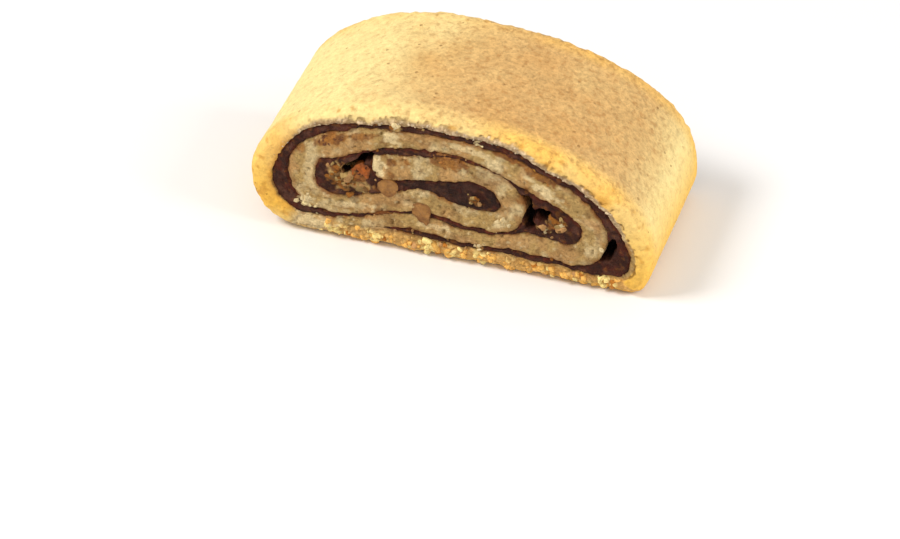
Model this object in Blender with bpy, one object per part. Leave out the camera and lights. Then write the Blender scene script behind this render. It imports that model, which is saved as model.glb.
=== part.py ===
"""A slice of maamoul: semolina dough rolled up with date paste and pieces of walnut, baked and cut across.

The cut face lies in the XZ plane and the slice is DEPTH thick along Y. The face is described in
millimetres, x from left to right and z up from the surface that the slice rests on, and is moved
to its place and turned into metres when a mesh is made. The origin is under the middle.
"""
import math

import bmesh
import bpy
import numpy as np

MM = 0.001
DEPTH = 26.6
CLEARANCE = 0.3

# Extremes of the baked outline, and how square each quarter between them is (2 is an ellipse)
LEFT, TOP, RIGHT = (-28.6, 8.8), (-6.2, 23.5), (29.3, 4.5)
BASE_RIGHT, BASE_LEFT = (26.9, 0.0), (-19.5, 0.0)
SQUARE_LEFT_TOP, SQUARE_TOP_RIGHT, SQUARE_RIGHT_BASE, SQUARE_BASE_LEFT = 1.83, 2.34, 1.6, 2.4
MIDDLE_X = (LEFT[0] + RIGHT[0]) / 2

# The crust's edge round each cut face, and its gentle unevenness
ROUND_IN, ROUND_BACK = 1.8, 1.9
ROUND_ROWS = 4
CRUST_RELIEF = 0.12
CRUST_WAVE = 9.0
RELIEF_FROM = 4.0
OUTLINE_STEP = 1.5
SLAB_ROWS = 6

# The rolled sheet of dough, read at each quarter turn from its fold and between them where it
# bends unevenly: quarter turns, x and z of its inner side, thickness
SHEET = (
    (-2.50, -9.9, 12.3, 3.3),
    (-2.12, -3.2, 12.9, 4.4),
    (-1.75, 3.4, 14.1, 3.4),
    (-1.50, 6.0, 13.6, 3.3),
    (-1.00, 7.8, 11.3, 3.7),
    (-0.50, 5.6, 9.8, 2.7),
    (0.00, 0.4, 10.5, 2.6),
    (0.15, -3.2, 11.5, 3.2),
    (0.35, -10.5, 9.2, 2.6),
    (0.50, -15.2, 7.7, 2.7),
    (0.75, -18.2, 8.8, 3.9),
    (1.00, -19.1, 11.0, 3.7),
    (1.25, -18.1, 13.4, 3.4),
    (1.50, -15.4, 14.6, 3.8),
    (2.00, -4.0, 18.3, 2.7),
    (2.25, 2.5, 18.2, 2.8),
    (2.70, 13.0, 13.8, 3.9),
    (3.00, 19.5, 9.0, 3.6),
    (3.25, 18.6, 7.45, 3.6),
    (3.75, 11.6, 7.7, 3.2),
    (4.00, 3.7, 6.5, 2.2),
    (4.15, -2.0, 7.2, 2.7),
    (4.37, -12.5, 5.2, 1.9),
    (4.62, -21.2, 4.1, 2.6),
    (5.00, -24.9, 8.2, 3.0),
    (5.25, -24.0, 12.3, 3.0),
    (5.65, -16.5, 19.9, 3.0),
    (6.00, -5.5, 21.9, 3.0),
    (6.25, 9.2, 21.1, 3.0),
    (6.60, 20.2, 15.5, 3.0),
    (7.00, 26.3, 5.6, 3.0),
    (7.25, 25.5, 3.5, 3.0),
    (7.50, 23.0, 2.95, 3.0),
    (7.90, 8.0, 3.8, 3.0),
    (8.27, -8.8, 3.8, 3.0),
)
FOLD_TURN, SEAM_TURN = -1.0, 4.6
SHEET_STEP = 0.25
# Where the core ends and the sheet starts to lie on a turn inside it, and how far back that turn is
CORE_END_TURN, ROUND_NOSE_TURN = 0.25, 2.0
TURNS_INSIDE = (3.2, 4.9)

# The date paste between the turns
PASTE_STEP = 1.55
PASTE_LEAST = 0.55
PASTE_RECESS = 0.4
PASTE_RELIEF = 0.12
PASTE_WAVE = 3.5
PASTE_SMOOTHING = 17
PASTE_OVERRUN = 1.0

# Hollows in the paste that show at the cut: x, z, half width, half height, depth, turned by degrees
HOLLOWS = (
    (-12.9, 13.9, 2.3, 0.75, 5.0, 42),
    (-10.6, 15.6, 0.7, 0.5, 3.5, 20),
    (12.2, 10.6, 0.8, 2.1, 4.5, 8),
    (14.3, 10.8, 0.9, 0.8, 5.0, 0),
    (23.1, 7.2, 1.0, 1.5, 5.0, -12),
)

# Pieces of walnut at the front cut: x, z, width, height, colour
WALNUTS = (
    (-11.7, 12.6, 2.3, 3.2, "brown"),
    (-15.5, 11.0, 1.8, 2.7, "tan"),
    (-8.1, 10.5, 3.0, 2.7, "tan"),
    (-3.3, 7.2, 2.9, 3.2, "tan"),
    (1.0, 17.0, 5.4, 2.5, "amber"),
    (9.0, 19.6, 3.0, 1.3, "brown"),
    (12.4, 17.9, 2.1, 1.4, "amber"),
    (-16.3, 16.8, 3.4, 1.4, "brown"),
    (-19.6, 5.6, 3.0, 1.8, "cream"),
    (4.2, 11.3, 2.6, 1.8, "brown"),
    (16.1, 10.1, 2.3, 1.9, "tan"),
    (4.9, 20.9, 1.6, 0.9, "cream"),
)
# Pieces of walnut at the back cut, in the same terms
WALNUTS_BEHIND = (
    (-14.2, 11.4, 2.6, 3.0, "brown"),
    (-20.6, 13.6, 2.4, 2.0, "tan"),
    (5.2, 11.6, 3.0, 1.8, "amber"),
    (15.8, 9.9, 2.8, 2.0, "tan"),
    (-2.6, 17.3, 4.2, 1.9, "brown"),
    (23.9, 6.6, 2.0, 2.6, "brown"),
    (8.6, 4.4, 2.6, 1.4, "cream"),
)
WALNUT_DEPTH = 1.9
WALNUT_ROUGHNESS = 0.16
WALNUT_PROUD = 0.1
# How far a pocket's cutter runs out past the cut face, and the room that pores and hollows need
POCKET_OUT = 1.5
JUST_ROOM = 0.01

# Small pores in the dough along the outer turn's cut
PORES = 24
PORE_SIZE = (0.4, 0.8)
PORE_DEPTH = 0.7
PORE_FROM_PASTE = (0.6, 0.95)
PORE_TURNS = (5.0, 7.1)

COLOURS = {
    "crust": (0.83, 0.60, 0.30),
    "paste": (0.055, 0.022, 0.022),
    "brown": (0.32, 0.13, 0.05),
    "tan": (0.50, 0.33, 0.18),
    "amber": (0.45, 0.22, 0.07),
    "cream": (0.72, 0.58, 0.36),
}


def material(name, roughness):
    """A Principled material of the named colour."""
    made = bpy.data.materials.new(name)
    made.use_nodes = True
    shader = made.node_tree.nodes["Principled BSDF"]
    shader.inputs["Base Color"].default_value = (*COLOURS[name], 1.0)
    shader.inputs["Roughness"].default_value = roughness
    shader.inputs["Metallic"].default_value = 0.0
    return made


def travelled(points):
    """Distance covered along a row of points at each of them."""
    steps = np.linalg.norm(np.diff(points, axis=0), axis=1)
    return np.concatenate([[0.0], np.cumsum(steps)])


def spread(points, step):
    """The same route with points at even distances of about one step."""
    run = travelled(points[:, :2])
    even = np.linspace(0.0, run[-1], max(int(round(run[-1] / step)), 2) + 1)
    return np.stack([np.interp(even, run, column) for column in points.T], axis=1)


def smooth_route(rows, count=3000):
    """A cubic Hermite curve through the rows, with the slope of their neighbours at each row."""
    knots = travelled(rows[:, :2])
    slopes = np.gradient(rows, knots, axis=0)
    at = np.linspace(0.0, knots[-1], count)
    i = np.clip(np.searchsorted(knots, at, side="right") - 1, 0, len(knots) - 2)
    span = (knots[i + 1] - knots[i])[:, None]
    u = (at - knots[i])[:, None] / span
    start = (1 + 2 * u) * (1 - u) ** 2 * rows[i] + u * (1 - u) ** 2 * span * slopes[i]
    return start + u * u * (3 - 2 * u) * rows[i + 1] + u * u * (u - 1) * span * slopes[i + 1]


def quarter(start, end, square, leaves_upright):
    """A quarter of a superellipse between two extremes of the outline."""
    angle = np.linspace(0.0, np.pi / 2, 200, endpoint=False)
    along, across = np.cos(angle) ** (2 / square), np.sin(angle) ** (2 / square)
    if leaves_upright:
        x, z = end[0] + (start[0] - end[0]) * along, start[1] + (end[1] - start[1]) * across
    else:
        x, z = start[0] + (end[0] - start[0]) * across, end[1] + (start[1] - end[1]) * along
    return np.stack([x, z], axis=1)


def outline(step):
    """The baked outline, clockwise from the left extreme, closed, with the base flat."""
    crown = np.concatenate([
        quarter(LEFT, TOP, SQUARE_LEFT_TOP, True),
        quarter(TOP, RIGHT, SQUARE_TOP_RIGHT, False),
        quarter(RIGHT, BASE_RIGHT, SQUARE_RIGHT_BASE, True),
        [BASE_RIGHT, BASE_LEFT],
        quarter(BASE_LEFT, LEFT, SQUARE_BASE_LEFT, False),
        [LEFT],
    ])
    return spread(crown, step)[:-1]


def outward(points, closed=False):
    """Unit normals to the left of a clockwise route, or closed ring, which point out of it."""
    ahead = np.gradient(points, axis=0)
    if closed:
        ahead = np.roll(points, -1, axis=0) - np.roll(points, 1, axis=0)
    ahead /= np.linalg.norm(ahead, axis=1)[:, None]
    return np.stack([-ahead[:, 1], ahead[:, 0]], axis=1)


def sheet_sides():
    """Turns, inner side and outer side of the rolled sheet, its nose rounded off."""
    table = np.array(SHEET)
    route = spread(smooth_route(table[:, [1, 2, 0, 3]]), SHEET_STEP)
    inner, turns, thickness = route[:, :2], route[:, 2], route[:, 3]
    outer = inner + outward(inner) * thickness[:, None]
    middle = (inner + outer) / 2
    from_nose = np.clip(travelled(inner) / (thickness[0] / 2), 0.0, 1.0)
    swell = np.sqrt(1 - (1 - from_nose) ** 2)[:, None]
    return turns, middle + (inner - middle) * swell, middle + (outer - middle) * swell


def paste_sides():
    """Outer and inner side of the date paste, which fills what lies between one turn and the next.

    The outer side follows the sheet's inner side. The inner side is the nearest place on the turn
    inside it, and in the core, where the sheet folds back, the same distance before the fold.
    """
    turns, inner, outer = sheet_sides()
    laid = turns >= FOLD_TURN
    out_turns, out_side = turns[laid], inner[laid]
    back = turns <= FOLD_TURN
    outside = turns <= SEAM_TURN
    bank = np.concatenate([inner[back][::-1], outer[outside]])
    bank_turns = np.concatenate([2 * FOLD_TURN - turns[back][::-1], turns[outside]])
    is_outer = np.arange(len(bank)) >= back.sum()
    distance = np.linalg.norm(out_side[:, None] - bank[None], axis=2)
    behind = out_turns[:, None] - bank_turns[None]
    too_far = is_outer & ((behind < TURNS_INSIDE[0]) | (behind > TURNS_INSIDE[1]))
    too_early = ~is_outer & ((bank_turns < CORE_END_TURN)[None] | (out_turns > ROUND_NOSE_TURN)[:, None])
    nearest = np.where(too_far | too_early, np.inf, distance).argmin(axis=1)
    core = out_turns < CORE_END_TURN
    nearest[core] = np.searchsorted(bank_turns[~is_outer], out_turns[core])
    place = np.maximum.accumulate(nearest).astype(float)
    padded = np.pad(place, PASTE_SMOOTHING // 2, mode="edge")
    place = np.convolve(padded, np.ones(PASTE_SMOOTHING) / PASTE_SMOOTHING, mode="valid")
    in_side = np.stack([np.interp(place, np.arange(len(bank)), column) for column in bank.T], axis=1)
    return out_side, in_side


def paste_band(extra):
    """Both sides of the paste at even steps, never thinner than PASTE_LEAST, widened by extra."""
    out_side, in_side = paste_sides()
    both = spread(np.concatenate([out_side, in_side], axis=1), PASTE_STEP)
    middle, across = (both[:, :2] + both[:, 2:]) / 2, both[:, :2] - both[:, 2:]
    width = np.linalg.norm(across, axis=1)[:, None]
    half = np.maximum(width - 2 * CLEARANCE, PASTE_LEAST) / 2 + extra
    facing = across / np.maximum(width, 1e-6)
    facing[0], facing[-1] = facing[1], facing[-2]
    return middle + facing * half, middle - facing * half


def uneven(points, wave, seed, count=7):
    """Smooth unevenness, mostly between -1 and 1: seeded waves in random directions, added up."""
    draw = np.random.default_rng(seed)
    total = np.zeros(len(points))
    for _ in range(count):
        direction = draw.normal(size=3)
        direction *= 2 * np.pi / (wave * draw.uniform(0.7, 1.5) * np.linalg.norm(direction))
        total += np.sin(points @ direction + draw.uniform(0.0, 2 * np.pi))
    return total / math.sqrt(count / 2)


def placed(points):
    """Points of the face's frame, in millimetres with y from the front cut, as metres in place."""
    return (points - np.array([MIDDLE_X, DEPTH / 2, 0.0])) * MM


def add_object(name, points, faces, look):
    """One named object of the given faces, with its normals pointing out."""
    mesh = bpy.data.meshes.new(name)
    mesh.from_pydata(placed(points).tolist(), [], faces)
    shaped = bmesh.new()
    shaped.from_mesh(mesh)
    bmesh.ops.recalc_face_normals(shaped, faces=shaped.faces)
    shaped.to_mesh(mesh)
    shaped.free()
    made = bpy.data.objects.new(name, mesh)
    bpy.context.collection.objects.link(made)
    if look:
        mesh.materials.append(look)
    return made


def grid_faces(rows, columns):
    """Quads of a grid of points whose columns close round, capped at both ends."""
    faces = []
    for row in range(rows - 1):
        for column in range(columns):
            after = (column + 1) % columns
            here, there = row * columns, (row + 1) * columns
            faces.append((here + column, here + after, there + after, there + column))
    faces.append(tuple(range(columns)))
    faces.append(tuple(range((rows - 1) * columns, rows * columns)))
    return faces


def slab(look):
    """The whole baked slice before the paste is taken out: rings of the outline through its depth."""
    ring = outline(OUTLINE_STEP)
    out = outward(ring, closed=True)
    angles = np.linspace(0.0, np.pi / 2, ROUND_ROWS)
    rounded = [(ROUND_IN * (1 - math.sin(a)), ROUND_BACK * (1 - math.cos(a))) for a in angles]
    middle = np.linspace(ROUND_BACK, DEPTH - ROUND_BACK, SLAB_ROWS)[1:-1]
    rows = rounded + [(0.0, y) for y in middle] + [(inset, DEPTH - y) for inset, y in reversed(rounded)]
    rings = []
    for inset, y in rows:
        flat = ring - out * inset
        points = np.stack([flat[:, 0], np.full(len(flat), y), flat[:, 1]], axis=1)
        above_base = np.clip(points[:, 2] / RELIEF_FROM, 0.0, 1.0)
        from_cut = min(1.0, min(y, DEPTH - y) / ROUND_BACK)
        swell = CRUST_RELIEF * (uneven(points, CRUST_WAVE, 3) - 1) * above_base * from_cut
        points[:, 0] += out[:, 0] * swell
        points[:, 2] += out[:, 1] * swell
        rings.append(points)
    points = np.concatenate(rings)
    return add_object("dough", points, grid_faces(len(rows), len(ring)), look)


def band_solid(name, extra, front, back, relief, look):
    """The paste's band carried through the slice from front to back, with an uneven face at each end."""
    outer, inner = paste_band(extra)
    middle = (outer + inner) / 2
    corners = ((outer, front), (middle, front), (inner, front), (inner, back), (middle, back), (outer, back))
    profile = []
    for side, y in corners:
        points = np.stack([side[:, 0], np.full(len(side), y), side[:, 1]], axis=1)
        points[:, 1] += relief * uneven(points, PASTE_WAVE, 20)
        profile.append(points)
    stations = np.stack(profile, axis=1)
    return add_object(name, stations.reshape(-1, 3), grid_faces(len(outer), len(corners)), look)


def lump(name, centre, half, turn, seed, behind, room, look):
    """A rough lump cut flat at the cut face: a ball with a seeded radius at each corner.

    half is its half width, depth and half height. With room it is the pocket for that lump, larger
    by the room all round and running out past the cut.
    """
    ball = bmesh.new()
    bmesh.ops.create_icosphere(ball, subdivisions=2, radius=1.0)
    points = np.array([vertex.co[:] for vertex in ball.verts])
    faces = [tuple(vertex.index for vertex in face.verts) for face in ball.faces]
    ball.free()
    draw = np.random.default_rng(seed)
    points *= 1 + WALNUT_ROUGHNESS * draw.uniform(-1.0, 1.0, len(points))[:, None]
    points *= np.array(half) + room
    if room:
        points[:, 1] = np.where(points[:, 1] < 0, points[:, 1] - POCKET_OUT, points[:, 1])
    else:
        points[:, 1] = np.maximum(points[:, 1], -WALNUT_PROUD)
    angle = math.radians(turn)
    x = points[:, 0] * math.cos(angle) - points[:, 2] * math.sin(angle)
    z = points[:, 0] * math.sin(angle) + points[:, 2] * math.cos(angle)
    y = DEPTH - points[:, 1] if behind else points[:, 1]
    return add_object(name, np.stack([x + centre[0], y, z + centre[1]], axis=1), faces, look)


def cut(target, cutters):
    """Take the cutters out of the target with an exact Boolean, and remove them."""
    tools = bpy.data.collections.new("tools")
    bpy.context.scene.collection.children.link(tools)
    for cutter in cutters:
        for home in list(cutter.users_collection):
            home.objects.unlink(cutter)
        tools.objects.link(cutter)
        cutter.hide_render = True
        cutter.display_type = "WIRE"
    change = target.modifiers.new("cut", "BOOLEAN")
    change.operation = "DIFFERENCE"
    change.solver = "EXACT"
    change.operand_type = "COLLECTION"
    change.collection = tools
    with bpy.context.temp_override(object=target, active_object=target):
        bpy.ops.object.modifier_apply(modifier=change.name)
    for cutter in cutters:
        bpy.data.objects.remove(cutter, do_unlink=True)
    bpy.data.collections.remove(tools)


def walnut_seats():
    """Each piece of walnut: its name, place, half sizes, colour, seed and cut face."""
    seats = []
    for behind, rows, label in ((False, WALNUTS, "front"), (True, WALNUTS_BEHIND, "back")):
        for number, (x, z, width, height, colour) in enumerate(rows, start=1):
            name = f"walnut_{label}_{number}"
            half = (width / 2, WALNUT_DEPTH, height / 2)
            seats.append((name, (x, z), half, colour, 40 + len(seats), behind))
    return seats


def pockets(prefix):
    """A pocket for every piece of walnut, with the clearance all round."""
    return [lump(f"{prefix}_{name}", centre, half, 0.0, seed, behind, CLEARANCE, None)
            for name, centre, half, _, seed, behind in walnut_seats()]


def pores():
    """Small pits just outside the outer turn of paste, at both cuts."""
    turns, inner, _ = sheet_sides()
    along = inner[(turns > PORE_TURNS[0]) & (turns < PORE_TURNS[1])]
    out = outward(along)
    draw = np.random.default_rng(11)
    made = []
    for number in range(PORES):
        spot = draw.integers(0, len(along))
        size = draw.uniform(*PORE_SIZE)
        centre = along[spot] + out[spot] * draw.uniform(*PORE_FROM_PASTE)
        half = (size / 2, PORE_DEPTH, size / 2 * draw.uniform(0.6, 1.0))
        made.append(lump(f"pore_{number}", centre, half, 0.0, 100 + number, number % 2 == 1, JUST_ROOM, None))
    return made


def hollows():
    """The hollows in the paste, at the front cut and, turned the same way, at the back."""
    made = []
    for number, (x, z, wide, high, deep, turn) in enumerate(HOLLOWS):
        for behind in (False, True):
            name = f"hollow_{number}_{behind}"
            made.append(lump(name, (x, z), (wide, deep, high), turn, 70 + number, behind, JUST_ROOM, None))
    return made


def build():
    """Dough, paste and walnuts."""
    for old in list(bpy.data.objects):
        bpy.data.objects.remove(old, do_unlink=True)
    looks = {name: material(name, 0.45 if name == "paste" else 0.75) for name in COLOURS}
    dough = slab(looks["crust"])
    channel = band_solid("channel", CLEARANCE, -PASTE_OVERRUN, DEPTH + PASTE_OVERRUN, 0.0, None)
    cut(dough, [channel])
    cut(dough, pockets("dough") + pores())
    back = DEPTH - PASTE_RECESS
    paste = band_solid("date_paste", 0.0, PASTE_RECESS, back, PASTE_RELIEF, looks["paste"])
    cut(paste, pockets("paste") + hollows())
    for name, centre, half, colour, seed, behind in walnut_seats():
        lump(name, centre, half, 0.0, seed, behind, 0.0, looks[colour])


build()
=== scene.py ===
"""A slice of maamoul on a pale table: the baked dough, the date paste and the walnuts in it.

The cut face is described in millimetres, x from left to right, y into the slice from the front
cut and z up, and every piece is moved to its place and turned into metres when its mesh is made.
A noise is called with the size of its cells in millimetres and its seed.
"""
import math

import bpy
import numpy as np
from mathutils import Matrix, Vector


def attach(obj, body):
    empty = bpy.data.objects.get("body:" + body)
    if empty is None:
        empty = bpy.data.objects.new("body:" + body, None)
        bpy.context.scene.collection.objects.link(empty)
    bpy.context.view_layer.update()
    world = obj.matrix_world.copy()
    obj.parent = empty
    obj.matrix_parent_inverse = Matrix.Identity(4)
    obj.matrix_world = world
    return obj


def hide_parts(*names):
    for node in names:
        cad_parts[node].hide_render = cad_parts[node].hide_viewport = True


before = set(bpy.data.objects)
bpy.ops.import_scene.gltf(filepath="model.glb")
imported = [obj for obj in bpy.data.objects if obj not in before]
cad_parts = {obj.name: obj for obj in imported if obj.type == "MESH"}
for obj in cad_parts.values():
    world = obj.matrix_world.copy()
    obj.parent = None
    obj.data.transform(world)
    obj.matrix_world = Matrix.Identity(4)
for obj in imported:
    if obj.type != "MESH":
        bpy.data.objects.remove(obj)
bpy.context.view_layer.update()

MM = 0.001
DEPTH = 26.6

# Extremes of the baked outline, and how square each quarter between them is (2 is an ellipse)
LEFT, TOP, RIGHT = (-28.6, 8.8), (-6.2, 23.5), (29.3, 4.5)
BASE_RIGHT, BASE_LEFT = (26.9, 0.0), (-19.5, 0.0)
SQUARE_LEFT_TOP, SQUARE_TOP_RIGHT, SQUARE_RIGHT_BASE, SQUARE_BASE_LEFT = 1.83, 2.34, 1.6, 2.4
MIDDLE_X = (LEFT[0] + RIGHT[0]) / 2

# The rolled sheet of dough: quarter turns from its fold, x and z of its inner side, thickness
SHEET = (
    (-2.50, -10.0, 11.6, 4.0), (-2.25, -6.6, 12.15, 4.15), (-2.12, -3.2, 12.85, 4.15),
    (-2.00, 0.4, 13.5, 3.85), (-1.75, 3.4, 14.1, 3.4), (-1.50, 6.0, 13.6, 3.3),
    (-1.25, 7.4, 12.5, 3.5), (-1.00, 7.8, 11.3, 3.7), (-0.75, 7.2, 10.2, 3.75),
    (-0.50, 5.6, 9.8, 3.1), (-0.25, 3.2, 9.9, 3.2), (0.00, 0.4, 10.5, 3.3),
    (0.15, -3.2, 11.5, 3.9), (0.25, -6.9, 10.2, 3.5), (0.35, -10.5, 9.2, 3.3),
    (0.50, -15.2, 7.7, 3.2), (0.75, -18.2, 8.8, 3.9), (1.00, -18.8, 10.9, 3.9),
    (1.25, -17.9, 12.9, 3.7), (1.50, -15.3, 14.0, 4.15), (1.75, -10.2, 16.4, 3.65),
    (2.00, -4.0, 17.95, 2.7), (2.25, 2.5, 17.95, 2.7), (2.50, 8.4, 16.1, 3.55),
    (2.70, 13.0, 13.8, 3.9), (2.85, 17.2, 12.0, 3.6), (3.00, 19.5, 9.0, 3.6),
    (3.25, 18.6, 7.4, 3.95), (3.50, 16.0, 7.2, 3.35), (3.75, 11.6, 7.5, 3.65),
    (3.90, 8.0, 6.45, 2.4), (4.00, 3.7, 6.0, 2.3), (4.15, -2.0, 6.85, 2.85),
    (4.27, -8.0, 6.3, 2.3), (4.37, -12.5, 4.75, 1.7), (4.50, -17.5, 3.65, 1.6),
    (4.62, -21.2, 3.85, 2.4), (4.75, -23.6, 5.3, 3.0), (5.00, -24.9, 8.2, 3.0),
    (5.25, -24.0, 12.3, 3.0), (5.50, -21.0, 16.8, 3.0), (5.65, -16.5, 19.4, 3.0),
    (5.80, -12.0, 20.4, 3.0), (6.00, -5.5, 21.5, 3.0), (6.12, 2.3, 21.3, 3.0),
    (6.25, 9.2, 20.85, 3.0), (6.40, 14.0, 18.6, 3.0), (6.60, 20.2, 15.5, 3.0),
    (6.75, 23.6, 12.2, 3.0), (6.90, 25.7, 8.2, 3.0), (7.00, 26.3, 5.6, 3.0),
    (7.25, 25.5, 3.5, 3.0), (7.50, 23.0, 2.7, 3.0), (7.75, 15.0, 3.05, 3.0),
    (7.90, 8.0, 3.25, 3.0), (8.00, 3.7, 3.05, 3.0), (8.27, -8.8, 3.7, 3.0),
)
# Its fold, where the paste leaves the core, and where it has come round the sheet's nose
FOLD_TURN, CORE_END_TURN, ROUND_NOSE_TURN = -1.0, 0.25, 2.0
# Where it starts to bake onto the crust and where it passes under it, how far before that the crust's
# inner side may begin, and how far its end is tucked in, in quarter turns; how far that is set back
SEAM_START_TURN, SEAM_TURN, SEAM_OVERLAP, SEAM_TUCK, SEAM_SET_BACK = 4.27, 4.6, 0.05, 0.07, 0.2
# How many quarter turns further in the paste's inner side may lie
TURNS_INSIDE = (3.2, 4.9)

# Points of a quarter of the outline and of a route, the step between them, points to a running mean
QUARTER_POINTS, ROUTE_POINTS, STEP = 400, 6000, 0.2
BAKED_SMOOTHING, PASTE_SMOOTHING = 7, 19
# Points handled at a time where the distance to every point of the outline is measured
BLOCK = 4000

# How wide and how deep the crust is rounded at the cuts, and the dough beside the paste
ROUND_IN, ROUND_BACK = 2.0, 1.9
EDGE_IN, EDGE_BACK = 0.5, 0.22
# How far the edges between dough and paste stray, coarsely and finely
STRAY_COARSE, STRAY_FINE = 0.198, 0.16
# Points of the profiles across the front and the back cut, and along the crust's bend and its wall
SHEET_STEPS, PASTE_STEPS = (24, 16), (33, 25)
CRUST_STEPS, BEND_STEPS, WALL_STEPS = 14, 11, 76
# Depths of the points along the walls between the cuts
SHEET_WALLS, PASTE_WALLS, CRUST_LINING = (1.5, 4.0), (5.0,), (DEPTH - 2.5, DEPTH / 2, 2.5)
# How much of its width the paste runs under the dough at the cuts, and the least width it is given
PASTE_OVERLAP, PASTE_LEAST = 0.02, 0.5
WALNUT_DEPTH = 1.9

# Corner numbers and seeds made to look random: large primes, and shifts with large primes
CELL_PRIMES = (73856093, 19349663, 83492791)
SEED_PRIME, WORD = 40503, 0xFFFFFFFF
SHIFTS = ((15, 2246822519), (13, 3266489917))
# Cells are counted from a corner this many cells away, so that none is negative
FAR_CORNER = 100.0


# Colours of the real thing, as seen in even light; some also serve for painted shade and sheen

def shade(red, green, blue):
    """A colour given as it shows on a screen, from 0 to 255, as light."""
    value = np.array([red, green, blue]) / 255.0
    return np.where(value <= 0.04045, value / 12.92, ((value + 0.055) / 1.055) ** 2.4)


CRUMB = shade(186, 151, 91)
CRUMB_PALE = shade(222, 198, 148)
CRUMB_DARK = shade(132, 94, 50)
CRUMB_PINK = shade(198, 148, 92)
CRUMB_ORANGE = shade(158, 98, 32)
CRUMB_CREAM = shade(255, 226, 144)
CRUMB_GOLD = shade(228, 174, 88)
RIM_PALE = shade(212, 188, 152)
CRUST_PALE = shade(245, 220, 150)
CRUST_TAN = shade(200, 156, 97)
CRUST_GOLD = shade(242, 186, 68)
CRUST_HONEY = shade(240, 186, 90)
CRUST_BROWN = shade(186, 130, 68)
CRUST_BASE = shade(186, 132, 72)
CRUST_DIMPLE = shade(204, 144, 54)
PASTE = shade(56, 25, 13)
PASTE_RED = shade(96, 38, 20)
# Greyer paste away from its edges, partly its own colour and partly a painted sheen
PASTE_GREY_SHEEN = shade(92, 55, 40)
# Painted shade for the paste's hollows, and the darker paste of the core
PASTE_SHADE_AND_DARK = shade(20, 8, 5)
STAIN = shade(136, 80, 32)
WALNUT_BROWN = shade(152, 98, 36)
WALNUT_TAN = shade(186, 146, 86)
WALNUT_NUDE = shade(158, 110, 54)
WALNUT_AMBER = shade(178, 128, 48)
WALNUT_CREAM = shade(222, 204, 150)
WALNUT_RUST = shade(154, 76, 12)
WALNUT_DEEP = shade(96, 54, 24)
WALNUT_SKIN = shade(104, 58, 22)

# Stains and smears at the cuts: x, z, half width, half height, turned by degrees, strength
STAINS_ORANGE = (
    (-16.0, 17.1, 2.5, 0.9, 24, 1.0), (-20.8, 14.6, 0.7, 0.8, 0, 0.8), (-12.0, 18.3, 2.6, 0.6, 15, 0.9),
    (-8.4, 18.2, 0.7, 0.9, 0, 0.5), (9.4, 19.3, 2.6, 0.6, -18, 1.0), (13.4, 17.5, 2.4, 0.8, -30, 1.0),
    (2.2, 16.7, 1.4, 1.2, 10, 1.0), (-0.4, 16.8, 2.0, 0.9, 0, 0.95), (-7.7, 15.1, 0.8, 0.6, 0, 1.0),
    (-5.5, 15.4, 0.7, 0.5, 0, 0.9), (11.0, 13.4, 0.6, 1.8, -18, 0.9), (10.6, 9.2, 0.6, 1.2, 20, 0.5),
    (-20.9, 2.3, 1.1, 0.6, 0, 0.5), (-22.2, 8.4, 0.6, 1.0, 10, 0.6), (-7.6, 12.9, 0.5, 0.7, 0, 0.7),
    (21.8, 9.6, 0.6, 1.6, 14, 0.5), (16.8, 14.2, 1.4, 0.4, -36, 0.5), (-14.4, 5.9, 1.8, 0.5, 10, 0.4),
)
STAINS_PALE = (
    (-20.0, 5.9, 1.6, 0.7, -18, 0.9), (-19.6, 2.4, 3.4, 1.3, 0, 0.8), (8.2, 8.4, 1.0, 0.7, 0, 1.0),
    (-9.5, 13.6, 0.9, 2.0, 0, 1.0), (-13.5, 6.4, 3.0, 0.5, 8, 0.5), (-7.4, 19.0, 1.5, 1.4, 30, 0.8),
    (3.4, 19.6, 2.8, 0.6, -6, 0.7), (7.2, 18.2, 1.8, 0.7, -14, 0.6), (14.2, 15.0, 2.8, 0.8, -34, 0.9),
    (-19.6, 10.6, 0.9, 2.4, 0, 0.5), (20.8, 6.6, 0.8, 1.2, 10, 0.6), (-2.0, 5.6, 2.4, 0.5, 0, 0.5),
)
# In the same form, crumbs smeared over the paste at the front, and where the paste is darker
CRUMBS_ON_PASTE = (
    (-7.0, 21.2, 0.8, 1.0, 0, 1.0), (5.1, 3.9, 0.5, 0.8, 0, 1.0), (-14.9, 11.2, 1.9, 2.2, 0, 0.8),
    (-12.2, 10.4, 1.8, 1.1, 0, 0.7), (16.0, 9.9, 1.4, 0.9, 0, 0.8), (4.2, 11.2, 1.2, 0.6, -20, 0.6),
    (-9.2, 6.1, 2.0, 0.35, 14, 0.6), (-14.0, 20.2, 0.9, 0.25, 15, 0.7), (-10.2, 20.9, 1.2, 0.25, 12, 0.7),
)
PASTE_DEEP = ((1.6, 11.7, 6.6, 2.8, -8, 1.0),)
# The hollows in the paste, in the same form but for the last number, which is the depth
HOLLOWS = (
    (-13.1, 13.2, 2.3, 0.65, 38, 4.0), (-11.1, 15.0, 1.2, 0.7, 30, 3.5), (-13.9, 12.2, 1.0, 0.7, 60, 2.0),
    (11.8, 11.5, 1.0, 2.3, 6, 3.0), (13.6, 11.4, 1.6, 0.6, 10, 3.0), (12.3, 9.0, 1.0, 0.8, 0, 2.4),
    (14.2, 10.9, 1.0, 0.85, 0, 4.0), (23.4, 7.3, 0.85, 2.1, -16, 4.0), (22.6, 6.1, 1.3, 0.9, 30, 3.6),
)

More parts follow.
